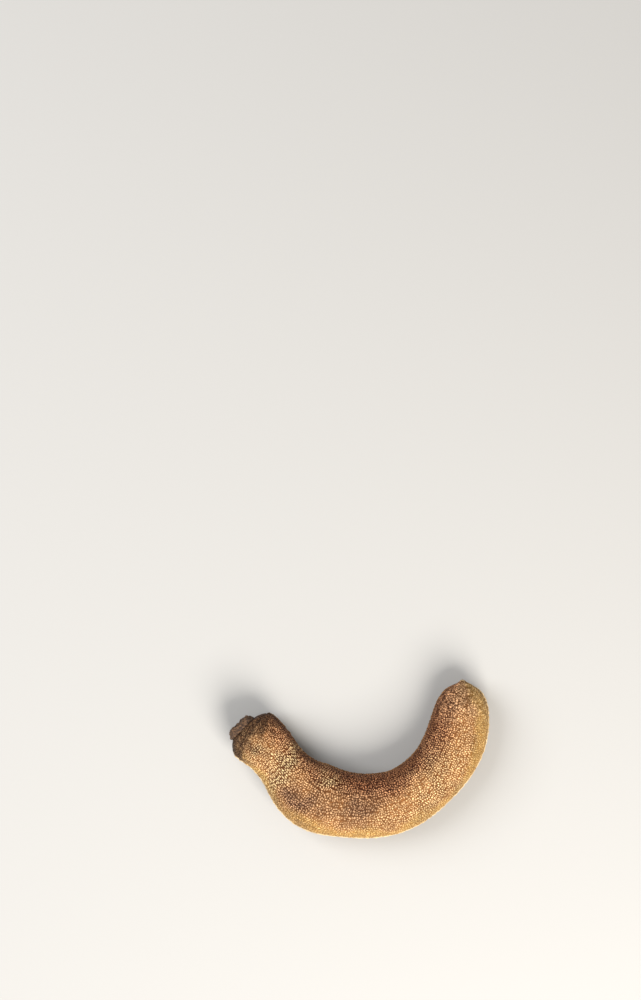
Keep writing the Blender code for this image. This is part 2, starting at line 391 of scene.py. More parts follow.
# The swellings over the seeds, the dents and the waist's creases, as in the solids.
SEED_SPACING = 13.4
FIRST_SEED = 11.5
SEED_LENGTH = 4.6
DENT_SIZE = 15.0
DENT_DEPTH = 0.35
WAIST_PLACE = 20.8
WAIST_REACH = 5.0
CREASE_DEPTH = 0.16
CREASES_AROUND = 11
WARP_SIZE = 5.0  # over what length the creases and wrinkles wander, and how far
CREASE_WARP = 2.0
WRINKLE_WARP = 1.6

# The wrinkles round the stalk: the wide ones, and the fine ones between them.
WRINKLE_STEP = 2.9
WRINKLE_REACH = 7.0
FINE_STEP = 1.3
FINE_REACH = 5.0
FINE_WARP = 1.4
FINE_WARP_SIZE = 2.6
FINE_SHARE = 0.5

# The seams: their width, height and roughness, and where they rise to their full height.
SEAM_WIDTH = 0.6
SEAM_EVEN = 0.9
SEAM_ROUGH = 0.45
SEAM_AT_STALK = 0.3
SEAM_RISE = (1.5, 7.0)
ROUGH_SIZE = 0.8

# The stalk's socket and the beak.
SOCKET_SHIFT = 1.0
SOCKET_PROFILE = (
    # place along the pod, radius
    (2.1, 3.8),
    (1.4, 3.85),
    (0.8, 3.9),
    (0.55, 4.1),
    (0.45, 4.4),
    (0.5, 4.8),
)
BEAK_RADIUS = 1.3
BEAK_POWER = 2.4
BEAK_RINGS = (0.25, 0.5, 0.75, 1.0, 1.25, 1.5, 1.8, 2.1, 2.5, 2.9)
BEAK_LOBES = ((0.12, 3, 1), (0.06, 7, 0))  # its uneven outline: reach, count round it, turn
BEAK_SIDE_REACH = 0.6  # how much farther inward the outer side reaches there, and from where
BEAK_SIDE = (97.0, 110.0)
BEAK_BLEND = (0.8, 3.2)  # how far from the beak end the shell's relief begins, and where it is full
FAR = 50.0

# How far the rows of grains stray, and over what length. They stray less where the pod is thin.
ROW_WANDER = ((0.9, 11.0), (0.55, 3.0), (0.3, 1.3))
WANDER_RADIUS = 4.0

# How the grains lie, with sizes as shares of the distance between two rows.
GRAIN_LENGTH = 1.15
GRAIN_LENGTH_AT_WAIST = 1.3
STRAIGHT_AT_WAIST = 0.65  # how much straighter the rows are there, and over what length
STRAIGHT_REACH = 6.0
SHIFT_ALONG = 0.36
SHIFT_ACROSS = 0.48
GRAIN_RADIUS = 0.62
GRAIN_RADIUS_SPREAD = 0.2
GRAIN_SLOPE = 0.42
GRAIN_GAP = 0.14
GRAIN_SPREAD = 0.5
LEAST_PITCH = 0.35  # in millimetres
ROW_OFFSET = 0.5  # how far each row is moved on from the last, and how unevenly, in grains
ROW_JITTER = 0.3
ROW_SLIP = 1.0  # how far neighbouring rows slip past each other, in grains, over how many grains
ROW_SLIP_OVER = 5
MOST_GRAINS = 400
BARE_WIDTH = 0.8  # how far from a seam the shell is bare
RIM_SMOOTHING = 0.5  # how much lower the grains are beside the outer seam
RIM_REACH = (0.6, 0.95)

# Where the rows begin and end, and the grains near both ends, which lie in no rows.
ROWS_BEGIN = (3.0, 8.0)
ROWS_END = (101.0, 111.0)
ENDS_HEIGHT = 0.5
ENDS_ROUGH = 0.3
COARSE_GRAIN = 0.8 * MM  # their size, and their greatest radius as a share of that
COARSE_RADIUS = 0.78
STALK_SQUEEZE = 0.9  # how much shorter the grains are along the pod near the stalk, over what length
STALK_SQUEEZE_REACH = 11.0

# What each pattern of noise starts from, so that no two are alike.
RANDOM_SEED = 11
ROUGH_PATTERN = (5, 2, 9)
FINE_PATTERN = (4, 7, 1)
WANDER_PATTERN = (3, 1, 8)
CLOUD_PATTERN = (9, 9, 2)

# Scars like small craters on the shoulder of the stalk end: place, angle and radius.
SCARS = ((3.4, 1.15, 1.3), (6.4, 1.85, 1.1), (4.6, 4.4, 1.2), (9.5, 5.3, 0.9))
SCAR_RIM = 0.22
SCAR_RIM_WIDTH = 0.35
SCAR_PIT = 0.3
SCAR_PIT_WIDTH = 0.6

# Clouds of colour: place, how far outward (-1 to 1), reach along, reach across, and strength.
# The pale clouds are partly paler skin and partly painted highlight on the grains.
PALE_CLOUDS = (
    (18.5, -0.45, 3.0, 0.6, 1.0),
    (22.0, 0.35, 3.0, 0.5, 1.0),
    (10.5, 0.35, 6.0, 0.4, 0.9),
    (38.6, -0.6, 5.0, 0.28, 1.0),
    (74.0, 0.6, 14.0, 0.4, 0.5),
    (86.0, 0.2, 11.0, 0.5, 0.5),
    (84.0, -0.45, 8.0, 0.25, 0.35),
)
DUSK_CLOUDS = (
    (53.0, 0.05, 10.0, 0.6, 0.9),
    (34.0, 0.2, 8.0, 0.75, 0.9),
    (27.5, 0.5, 4.0, 0.4, 0.5),
    (112.0, 0.0, 9.0, 0.8, 0.6),
    (98.0, 0.45, 2.5, 0.25, 0.35),
    # this cloud on the shoulder of the stalk end is painted shade
    (3.0, 0.9, 6.0, 0.45, 0.8),
)
RUST_CLOUDS = (
    (15.0, 0.45, 2.5, 0.2, 0.6),
    (96.0, -0.6, 12.0, 0.45, 0.55),
    (64.0, -0.75, 16.0, 0.4, 0.7),
    (48.0, -0.85, 12.0, 0.35, 0.8),
)
UNDERSIDE_SHIFT = 9.0  # how much nearer the stalk the same clouds lie on the underside
CLOUD_WARP_SIZE = 6.0  # over what length their outlines wander, and how far along and across
CLOUD_WARP = 5.0
CLOUD_WARP_ACROSS = 0.3


def shell_places():
    """Places of the rings between the socket and the beak."""
    turns = np.linspace(math.radians(STALK_CAP_START), math.pi / 2, STALK_CAP_RINGS)
    stalk = STALK_CAP * (1 - np.cos(turns))
    turns = np.linspace(math.radians(BEAK_CAP_START), math.pi / 2, BEAK_CAP_RINGS)
    beak = (FORM.length - BEAK_CAP * (1 - np.cos(turns)))[::-1]
    count = round((beak[0] - stalk[-1]) / RING_STEP)
    return np.concatenate([stalk, np.linspace(stalk[-1], beak[0], count + 1)[1:-1], beak])


def skin_points(place, angle):
    """Where each point would be if the pod were straight."""
    radius = FORM.width(place) * FORM.end_rounding(place) / 2
    return np.stack([place, radius * np.cos(angle), radius * np.sin(angle)], -1)


def row_pitch(place, rows):
    """Distance between two rows of grains."""
    size = np.hypot(FORM.width(place), FORM.thickness(place)) / math.sqrt(8)
    return 2 * math.pi * size * FORM.end_rounding(place) / rows


def grain_stretch(place):
    """Length of the grains, as a share of the distance between two rows."""
    return GRAIN_LENGTH + GRAIN_LENGTH_AT_WAIST * hump(place - WAIST_PLACE, WAIST_REACH)


def straightness(place):
    """How much the rows stray: little at the waist, where they run as ridges."""
    return 1 - STRAIGHT_AT_WAIST * hump(place - WAIST_PLACE, STRAIGHT_REACH)


def near_ends(place):
    """Share of the grains near the stalk and near the beak, which lie in no rows."""
    return 1 - ease(place, *ROWS_BEGIN) * (1 - ease(place, *ROWS_END))


def coarse_points(place, angle):
    """Where each point is for the grains near the ends, which are shorter along the stalk."""
    points = skin_points(place, angle)
    points[..., 0] += STALK_SQUEEZE * np.minimum(place, STALK_SQUEEZE_REACH)
    return points


def drift(counts, rows, random):
    """A random number that runs smoothly from one grain of a row to the next."""
    cell = np.floor(counts).astype(int)
    share = ease(counts - cell, 0, 1)
    return random[rows, cell] * (1 - share) + random[rows, cell + 1] * share - 0.5


def grain_lines(points, place):
    """For each ring and row, the grains counted along the row, and how far they lie off it."""
    rows = points[:, ::COLUMNS_PER_ROW]
    order = np.arange(rows.shape[1])
    steps = np.linalg.norm(np.diff(rows, axis=0), axis=-1)
    at = (place[1:, 0] + place[:-1, 0]) / 2
    spacing = np.maximum(row_pitch(at, rows.shape[1]), LEAST_PITCH) * grain_stretch(at)
    counts = np.concatenate([np.zeros((1, len(order))), np.cumsum(steps / spacing[:, None], axis=0)])
    counts -= counts[len(counts) // 2]
    random = np.random.default_rng(RANDOM_SEED)
    counts += MOST_GRAINS / 2 + ROW_OFFSET * order + ROW_JITTER * random.standard_normal(len(order))
    tables = random.random((3, len(order), MOST_GRAINS))
    slip = ROW_SLIP * drift(counts / ROW_SLIP_OVER, order, tables[2])
    along = 2 * SHIFT_ALONG * drift(counts, order, tables[0])
    across = 2 * SHIFT_ACROSS * drift(counts, order, tables[1]) * straightness(place[:, :1])
    return counts + slip + along, across


def grain_field(lines, strays):
    """How far each point is inside a grain, from 0 to 1, and that grain's own number."""
    columns = np.arange(lines.shape[1] * COLUMNS_PER_ROW)
    low = columns // COLUMNS_PER_ROW
    random = np.random.default_rng(RANDOM_SEED + 1).random((lines.shape[1], MOST_GRAINS))
    nearest, second, own = [], [], []
    for row in (low, low + 1):
        at = row % lines.shape[1]
        along = np.abs(lines[:, at] % 1 - 0.5) * GRAIN_LENGTH
        across = columns / COLUMNS_PER_ROW - row - strays[:, at]
        nearest.append(np.hypot(along, across))
        second.append(np.hypot(GRAIN_LENGTH - along, across))
        own.append(random[at, np.floor(lines[:, at]).astype(int)])
    first = np.minimum(*nearest)
    next_one = np.minimum(np.maximum(*nearest), np.minimum(*second))
    number = np.where(nearest[0] < nearest[1], *own)
    inside = np.minimum(next_one - first - GRAIN_GAP, GRAIN_RADIUS - GRAIN_RADIUS_SPREAD * number - first)
    return ease(inside, 0, GRAIN_SLOPE), number


def scar_relief(place, angle, radius):
    """The rims of the scars, and their pits."""
    rims = np.zeros(place.shape)
    pits = np.zeros(place.shape)
    for scar_place, scar_angle, size in SCARS:
        turn = (angle - scar_angle + math.pi) % (2 * math.pi) - math.pi
        distance = np.hypot(place - scar_place, turn * np.maximum(radius, 1))
        rims += SCAR_RIM * hump(distance - size, SCAR_RIM_WIDTH * size)
        pits += SCAR_PIT * hump(distance, SCAR_PIT_WIDTH * size)
    return rims, pits


def clouds(table, place, angle, warp):
    """The strength of the clouds of one colour at each point."""
    under = np.sin(angle) < 0
    at = place + UNDERSIDE_SHIFT * under + CLOUD_WARP * warp
    outward = np.cos(angle) + CLOUD_WARP_ACROSS * warp
    total = np.zeros(place.shape)
    for middle, side, along, across, strength in table:
        total += strength * hump(at - middle, along) * hump(outward - side, across)
    return np.clip(total, 0, 1)


def wrinkle_folds(place, warp, step, reach):
    """Folds across the pod, from 0 on their crests to 1, that fade away from the stalk."""
    turn = 2 * math.pi * (place + warp) / step
    return (0.5 + 0.5 * np.cos(turn)) * np.exp(-place / reach)


def fold_depth(place, angle, skin, depth):
    """Depth of the wrinkles round the stalk and of the creases at the waist."""
    warp = noise_over(skin, WARP_SIZE)
    wrinkles = wrinkle_folds(place, WRINKLE_WARP * warp, WRINKLE_STEP, WRINKLE_REACH)
    fine_warp = FINE_WARP * noise_over(skin, FINE_WARP_SIZE, FINE_PATTERN)
    fine = wrinkle_folds(place, fine_warp, FINE_STEP, FINE_REACH)
    crease_turn = CREASES_AROUND * angle + CREASE_WARP * warp
    creases = hump(place - WAIST_PLACE, WAIST_REACH) * (0.5 + 0.5 * np.cos(crease_turn))
    return depth * (wrinkles + FINE_SHARE * fine) + CREASE_DEPTH * creases


def grain_relief(place, angle, lines, strays, from_seam, rough, height):
    """How far the grains stand out. None are on the seams, and near both ends is rough skin."""
    body, own = grain_field(lines, strays)
    ends = near_ends(place)
    body = body * (1 - GRAIN_SPREAD * own) * (1 - ends) + ends * (ENDS_HEIGHT + ENDS_ROUGH * rough)
    bare = hump(from_seam, BARE_WIDTH)
    rim = RIM_SMOOTHING * ease(np.cos(angle), *RIM_REACH)
    return height * body * (1 - bare) * (1 - rim)


def shell_relief(place, angle, lines, strays, settings):
    """How far each point stands out from the smooth form, and how deep it lies in a fold."""
    skin = skin_points(place, angle)
    radius = FORM.width(place) * FORM.end_rounding(place) / 2
    from_seam = np.abs(np.sin(angle)) * radius
    rough = noise_over(coarse_points(place, angle), ROUGH_SIZE, ROUGH_PATTERN)

    dents = DENT_DEPTH * noise_over(skin, DENT_SIZE)
    seed_phase = (place - FIRST_SEED) / SEED_SPACING
    from_seed = (seed_phase - np.round(seed_phase)) * SEED_SPACING
    seeds = settings.seed_bulge / MM * hump(from_seed, SEED_LENGTH) * np.abs(np.sin(angle))
    seam = settings.seam_height / MM * hump(from_seam, SEAM_WIDTH) * (SEAM_EVEN + SEAM_ROUGH * rough)
    seam *= SEAM_AT_STALK + (1 - SEAM_AT_STALK) * ease(place, *SEAM_RISE)
    rims, pits = scar_relief(place, angle, radius)
    folds = fold_depth(place, angle, skin, settings.wrinkle_depth / MM) + pits
    grains = grain_relief(place, angle, lines, strays, from_seam, rough, settings.grain_height / MM)
    towards_beak = ease(FORM.length - place, *BEAK_BLEND)
    return (grains + dents + seeds + seam + rims - folds) * towards_beak, folds


def socket_rings(angle):
    """The stalk's socket, from the edge of its floor out to its lip."""
    rings = []
    for distance, radius in SOCKET_PROFILE:
        place = np.full(len(angle), distance)
        size = np.full(len(angle), radius)
        rings.append(FORM.surface(place, angle, size, size) + SOCKET_SHIFT * FORM.outward(place))
    return np.stack(rings)


def beak_rings(angle, height):
    """The rings inside the last one of the shell, rising to the beak."""
    rings = []
    flatness = float(FORM.thickness(FORM.length) / FORM.width(FORM.length))
    for radius in reversed(BEAK_RINGS):
        share = radius / (float(FORM.width(FORM.length)) / 2)
        from_tip = BEAK_CAP * (1 - (1 - share**CAP_POWER) ** (1 / CAP_POWER))
        rise = height * math.exp(-((radius / BEAK_RADIUS) ** BEAK_POWER))
        place = np.full(len(angle), FORM.length - from_tip + rise)
        lobes = (reach * np.sin(count * angle + turn) for reach, count, turn in BEAK_LOBES)
        size = radius * sum(lobes, 1.0)
        rings.append(FORM.surface(place, angle, size, size * flatness))
    return np.stack(rings)


def store(mesh, name, values, kind="FLOAT", domain="POINT"):
    """Stores values on the mesh for its material to read."""
    layer = mesh.attributes.new(name, kind, domain)
    layer.data.foreach_set("value" if kind == "FLOAT" else "vector", np.ravel(values).astype(np.float32))


def store_grain_lines(mesh, lines, strays, rings_before, rings, columns):
    """Stores on each corner of the faces where it is in the two rows of grains beside it."""
    ring_of_face = np.repeat(np.arange(rings - 1), columns)
    column_of_face = np.tile(np.arange(columns), rings - 1)
    corner_rings = ring_of_face[:, None] + np.array([0, 1, 1, 0])
    corner_columns = column_of_face[:, None] + np.array([0, 0, 1, 1])
    in_lines = np.clip(corner_rings - rings_before, 0, len(lines) - 1)
    low_row = (column_of_face // COLUMNS_PER_ROW)[:, None] + np.zeros(4, int)
    for name, row in (("grains_low", low_row), ("grains_high", low_row + 1)):
        at = row % lines.shape[1]
        across = corner_columns / COLUMNS_PER_ROW - row - strays[in_lines, at]
        corners = np.stack([lines[in_lines, at], across, at.astype(float)], -1)
        values = np.zeros((len(mesh.loops), 3))
        values[: across.size] = corners.reshape(-1, 3)
        store(mesh, name, values, "FLOAT_VECTOR", "CORNER")


def outward_share(place, angle):
    """How far outward each point is, from -1 to 1. Near the beak the outer side is wider."""
    side = np.cos(angle)
    reach = 1 - BEAK_SIDE_REACH * ease(place, *BEAK_SIDE)
    return np.where(side > 0, np.maximum(side, 0) ** reach, side)


def far_unless(is_near, on_shell, on_beak):
    """Distances from a seam on shell and beak, which are far on the other seam's side."""
    return np.where(is_near, on_shell, FAR), np.where(is_near[-1], on_beak, FAR)


def whole(values, at_beak=None, at_socket=None):
    """A field over all rings. The beak and the socket may take it from the nearest ring."""
    first = np.repeat(values[:1], len(SOCKET_PROFILE), axis=0) if at_socket is None else at_socket
    last = np.repeat(values[-1:], len(BEAK_RINGS), axis=0) if at_beak is None else at_beak
    return np.concatenate([np.ravel(np.concatenate([first, values, last])), [first[0, 0], last[-1, 0]]])


def coarse_layers(place, angle, turn, beak_radius):
    """Where each point of the shell, the beak and the socket is for the grains near the ends."""
    coarse = coarse_points(place, angle)
    beak_place = np.full(beak_radius.shape, coarse[-1, 0, 0])
    on_beak = [beak_place, beak_radius * np.cos(turn), beak_radius * np.sin(turn)]
    depth, radius = (np.array(column)[:, None] * np.ones(len(turn)) for column in zip(*SOCKET_PROFILE))
    in_socket = [depth * (1 + STALK_SQUEEZE), radius * np.cos(turn), radius * np.sin(turn)]
    return [whole(coarse[..., i], on_beak[i], in_socket[i]) for i in range(3)]


def store_looks(mesh, place, angle, turn, radius, folds):
    """Stores on every point of the shell what its material paints by."""
    is_outer = np.cos(angle) > 0
    from_seam = np.abs(np.sin(angle)) * radius
    beak_radius = np.array(sorted(BEAK_RINGS, reverse=True))[:, None] * np.ones(len(turn))
    beak_from_seam = np.abs(np.sin(angle[-1])) * beak_radius
    beak_end = np.where(place > FORM.length / 2, radius, FAR)
    store(mesh, "place", whole(place))
    store(mesh, "outward", whole(outward_share(place, angle)))
    store(mesh, "from_outer_seam", whole(*far_unless(is_outer, from_seam, beak_from_seam)))
    store(mesh, "from_inner_seam", whole(*far_unless(~is_outer, from_seam, beak_from_seam)))
    store(mesh, "from_beak", whole(beak_end, beak_radius))
    store(mesh, "folds", whole(folds))
    store(mesh, "near_ends", whole(near_ends(place)))
    layers = coarse_layers(place, angle, turn, beak_radius)
    store(mesh, "coarse_at", np.stack(layers, -1) * MM, "FLOAT_VECTOR")
    warp = noise_over(skin_points(place, angle), CLOUD_WARP_SIZE, CLOUD_PATTERN)
    for name, table in (("pale", PALE_CLOUDS), ("dusk", DUSK_CLOUDS), ("rust", RUST_CLOUDS)):
        store(mesh, name, whole(clouds(table, place, angle, warp)))


def make_shell_mesh(settings):
    """The mesh of the shell, with what its material needs stored on it."""
    columns = settings.grain_rows * COLUMNS_PER_ROW
    turn = np.arange(columns) * 2 * math.pi / columns
    place, angle = np.meshgrid(shell_places(), turn, indexing="ij")
    radius = FORM.width(place) * FORM.end_rounding(place) / 2
    skin = skin_points(place, angle)
    wander = sum(reach * noise_over(skin, size, WANDER_PATTERN) for reach, size in ROW_WANDER)
    wander = wander * straightness(place)
    angle = angle + wander * np.abs(np.sin(angle)) / np.maximum(radius, WANDER_RADIUS)
    half_thickness = FORM.thickness(place) * FORM.end_rounding(place) / 2
    smooth = FORM.surface(place, angle, radius, half_thickness)
    lines, strays = grain_lines(smooth, place)
    out, folds = shell_relief(place, angle, lines, strays, settings)
    body = smooth + outward_normals(smooth) * out[..., None]
    socket = socket_rings(turn)
    beak = beak_rings(turn, settings.beak_height / MM)
    rings = np.concatenate([socket, body, beak])
    rings[..., 2] = np.maximum(rings[..., 2], 0)
    floor_place = SOCKET_PROFILE[0][0]
    floor_middle = FORM.middle(floor_place) + SOCKET_SHIFT * FORM.outward(floor_place)
    tip = FORM.middle(FORM.length + settings.beak_height / MM)
    mesh = ring_mesh("pod_shell", rings, floor_middle, tip)
    store_looks(mesh, place, angle, turn, radius, folds)
    store_grain_lines(mesh, lines, strays, len(socket), len(rings), columns)
    return mesh


# The shell's patches: their size in millimetres, their detail, what they swing between, and for some
# the spread of the noise and its roughness.
RAGGED_EDGES = (0.4, 3.0, -0.18, 0.18)
ENDS_PATCHES = (1.5, 2.0, -0.35, 0.35)
ZONE_WAVES = (12.0, 2.0, -0.15, 0.15)
MOTTLES = ((0.22, 3.0, 0.78, 1.18), (1.3, 2.0, 0.9, 1.09), (4.0, 3.0, 0.86, 1.1))
BARE_SPOTS = (1.2, 3.0, 0.0, 1.0)
BARE_EDGE = (4.0, 3.0, 0.0, 5.0)
WORN = (0.9, 4.0, -0.3, 0.3, 0.2, 0.6)
FAINT = (6.0, 3.0, 0.55, 1.0, 0.15)

# The zones' edges, from -1 deep in the hollow to 1 on the outer seam: where each begins and is full.
# on the side of the hollow the colours are partly red-brown skin and partly painted shade
INNER_ZONE = (0.05, -0.75)
# deep in the hollow the colours turn to painted shade
CROOK_SHADE_ZONE = (-0.66, -0.95)
RIM_ZONE = (0.62, 0.9)

# Where each of these begins and where it is full, in millimetres, with its strength at both.
FOLD_SHADE = (0.05, 0.5, 1.0, 0.42)
# how far the bare skin and painted shade of the stalk end reach
END_REACH = (14.0, 5.0, 0.0, 0.92)
SEAM_BAND = (3.4, 1.0, 1.0, 0.84)
# the pale line on the outer seam is partly a painted edge highlight
OUTER_LINE = (0.84, 0.32, 0.0, 1.0)
INNER_LINE = (0.9, 0.3, 0.0, 0.7)
BEAK_SHADOW = (3.0, 1.3, 0.0, 0.4)
BEAK_PALE = (1.2, 0.5, 0.0, 0.65)
# the beak's brown ring and the dark spot at its tip are painted shade
BEAK_PIT_SHADE = (0.55, 0.3, 0.0, 0.7)

# Shades from the darkest grain or flake to the lightest, or from the gaps to the grains.
GRAIN_STRENGTH = (0.6, 1.0)
GRAIN_SHADES = (0.88, 1.14)
BARE_SHADES = (0.55, 2.3)
# painted shade round the stalk end, from the gaps to the grains
STALK_PAINTED_SHADES = (0.1, 0.34)
SHELL_ROUGHNESS = (0.74, 0.46)
SCURF_SHADES = (0.66, 1.34, 0.18)
SPOT_LIGHTER = 2.6  # how much lighter the bare skin's spots are, and how much of it covers the grains
BARE_SHARE = 0.6
ENDS_EDGE = (0.42, 0.58)  # how sharply the rows of grains give way near the ends

# The flakes and pocks of the skin, and how high they and the grains are in its bumps.
SCURF_SIZE = 0.4
SCURF_BUMP = 0.12
POCK_SIZE = 0.16
POCK_BUMP = 0.05
GRAIN_BUMP = 0.2


def grain_nodes(sheet, name):
    """Distances to the nearest two grains of one row, and a random number of the nearest one's own."""
    vector = sheet.add("ShaderNodeAttribute", attribute_name=name).outputs["Vector"]
    count, across, row = sheet.add("ShaderNodeSeparateXYZ", {0: vector}).outputs
    off_middle = sheet.maths("ABSOLUTE", sheet.maths("SUBTRACT", sheet.maths("FRACT", count), 0.5))
    along = sheet.maths("MULTIPLY", off_middle, GRAIN_LENGTH)
    across_squared = sheet.maths("MULTIPLY", across, across)
    to_other = sheet.maths("SUBTRACT", GRAIN_LENGTH, along)
    nearest = sheet.maths("SQRT", sheet.maths("MULTIPLY_ADD", along, along, across_squared))
    second = sheet.maths("SQRT", sheet.maths("MULTIPLY_ADD", to_other, to_other, across_squared))
    cell = sheet.add("ShaderNodeCombineXYZ", {0: sheet.maths("FLOOR", count), 1: row}).outputs[0]
    random = sheet.add("ShaderNodeTexWhiteNoise", {"Vector": cell}, noise_dimensions="3D").outputs["Value"]
    return nearest, second, random


def ragged_edge(sheet, inside, ragged):
    """A soft and ragged step from 0 in the gaps to 1 inside the grains."""
    return sheet.step(sheet.maths("ADD", inside, ragged), 0, GRAIN_SLOPE)


def row_grains(sheet, ragged):
    """The grains that lie in rows, with a random number of each one's own."""
    low, low_second, low_random = grain_nodes(sheet, "grains_low")
    high, high_second, high_random = grain_nodes(sheet, "grains_high")
    first = sheet.maths("MINIMUM", low, high)
    farther = sheet.maths("MAXIMUM", low, high)
    second = sheet.maths("MINIMUM", farther, sheet.maths("MINIMUM", low_second, high_second))
    low_is_nearer = sheet.maths("LESS_THAN", low, high)
    difference = sheet.maths("SUBTRACT", low_random, high_random)
    random = sheet.maths("MULTIPLY_ADD", low_is_nearer, difference, high_random)
    radius = sheet.maths("MULTIPLY_ADD", random, -GRAIN_RADIUS_SPREAD, GRAIN_RADIUS)
    from_other = sheet.maths("SUBTRACT", sheet.maths("SUBTRACT", second, first), GRAIN_GAP)
    inside = sheet.maths("MINIMUM", from_other, sheet.maths("SUBTRACT", radius, first))
    return ragged_edge(sheet, inside, ragged), random


def end_grains(sheet, ragged):
    """The grains near both ends, with a random number of each one's own."""
    at = sheet.add("ShaderNodeAttribute", attribute_name="coarse_at").outputs["Vector"]
    inputs = {"Vector": at, "Scale": 1 / COARSE_GRAIN}
    cells = sheet.add("ShaderNodeTexVoronoi", inputs, feature="F1")
    first = cells.outputs["Distance"]
    second = sheet.add("ShaderNodeTexVoronoi", inputs, feature="F2").outputs["Distance"]
    from_other = sheet.maths("SUBTRACT", second, first)
    inside = sheet.maths("MINIMUM", from_other, sheet.maths("SUBTRACT", COARSE_RADIUS, first))
    random = sheet.add("ShaderNodeSeparateColor", {0: cells.outputs["Color"]}).outputs[0]
    return ragged_edge(sheet, inside, ragged), random


def grain_pattern(sheet, where):
    """How far a point is inside a grain, from 0 to 1, and that grain's own random number."""
    ragged = sheet.patches(where, *RAGGED_EDGES)
    in_rows, row_random = row_grains(sheet, ragged)
    at_ends, end_random = end_grains(sheet, ragged)
    patchy = sheet.patches(where, *ENDS_PATCHES)
    share = sheet.step(sheet.maths("ADD", sheet.field("near_ends"), patchy), *ENDS_EDGE)
    return sheet.between(share, in_rows, at_ends), sheet.between(share, row_random, end_random)


def shell_zones(sheet, where, colours):
    """Colours of the grains and of the gaps, by how far outward they are and by the clouds, with painted
    shade deep in the hollow.
    """
    outward = sheet.maths("ADD", sheet.field("outward"), sheet.patches(where, *ZONE_WAVES))
    zones = (
        (sheet.step(outward, *INNER_ZONE), colours.inner_crest, colours.inner_gap),
        (sheet.step(outward, *CROOK_SHADE_ZONE), colours.crook_shade_crest, colours.crook_shade_gap),
        (sheet.step(outward, *RIM_ZONE), colours.rim_crest, colours.rim_gap),
        (sheet.field("dusk"), colours.dusk_crest, colours.dusk_gap),
        (sheet.field("rust"), colours.rust_crest, colours.rust_gap),
        (sheet.field("pale"), colours.pale_crest, colours.pale_gap),
    )
    crest, gap = colours.crest, colours.gap
    for share, zone_crest, zone_gap in zones:
        crest = sheet.mix(share, crest, zone_crest)
        gap = sheet.mix(share, gap, zone_gap)
    return crest, gap


def grainy_skin(sheet, where, share, random, scurf, colours):
    """The mottled colour of the grainy shell. Share is how strongly a grain shows."""
    crest, gap = shell_zones(sheet, where, colours)
    gap = sheet.shade(gap, sheet.swing(scurf, *SCURF_SHADES))
    colour = sheet.mix(share, gap, crest)
    colour = sheet.shade(colour, sheet.step(random, 0, 1, *GRAIN_SHADES))
    for mottle in MOTTLES:
        colour = sheet.shade(colour, sheet.patches(where, *mottle))
    return sheet.shade(colour, sheet.step(sheet.field("folds"), *FOLD_SHADE))


def add_bare_skin(sheet, where, colour, grain, colours):
    """Turns the colour round the stalk to bare brown skin, mixed with the grains darkened as painted
    shade.
    """
    spots = sheet.patches(where, *BARE_SPOTS)
    lighter = [min(1.0, SPOT_LIGHTER * value) for value in colours.end_brown_and_shade]
    bare = sheet.mix(spots, colours.end_brown_and_shade, lighter)
    bare = sheet.shade(bare, sheet.step(grain, 0, 1, *BARE_SHADES))
    # Painted shade: the shell's colour darkened round the stalk end.
    dim = sheet.shade(colour, sheet.step(grain, 0, 1, *STALK_PAINTED_SHADES))
    uneven = sheet.patches(where, *BARE_EDGE)
    share = sheet.step(sheet.maths("ADD", sheet.field("place"), uneven), *END_REACH)
    return sheet.mix(share, colour, sheet.mix(BARE_SHARE, dim, bare))


def add_seam_lines(sheet, where, colour, worn, colours):
    """Adds the outer seam's thin pale line, partly a painted edge highlight, in a darker band, and the
    inner seam's olive line.
    """
    faint = sheet.patches(where, *FAINT)
    faint = sheet.maths("MULTIPLY", faint, sheet.step(sheet.field("place"), *SEAM_RISE))
    from_outer = sheet.maths("ADD", sheet.field("from_outer_seam"), worn)
    from_inner = sheet.maths("ADD", sheet.field("from_inner_seam"), worn)
    colour = sheet.shade(colour, sheet.step(from_outer, *SEAM_BAND))
    outer_line = sheet.maths("MULTIPLY", sheet.step(from_outer, *OUTER_LINE), faint)
    inner_line = sheet.maths("MULTIPLY", sheet.step(from_inner, *INNER_LINE), faint)
    colour = sheet.mix(outer_line, colour, colours.outer_seam_and_edge_light)
    return sheet.mix(inner_line, colour, colours.inner_seam)


def add_beak(sheet, colour, worn, colours):
    """Adds the pale beak in its painted brown shadow, with the painted shade of a small pit at its tip."""
    from_beak = sheet.maths("ADD", sheet.field("from_beak"), worn)
    colour = sheet.mix(sheet.step(from_beak, *BEAK_SHADOW), colour, colours.end_brown_and_shade)
    colour = sheet.mix(sheet.step(from_beak, *BEAK_PALE), colour, colours.outer_seam_and_edge_light)
    return sheet.mix(sheet.step(sheet.field("from_beak"), *BEAK_PIT_SHADE), colour, colours.end_brown_and_shade)


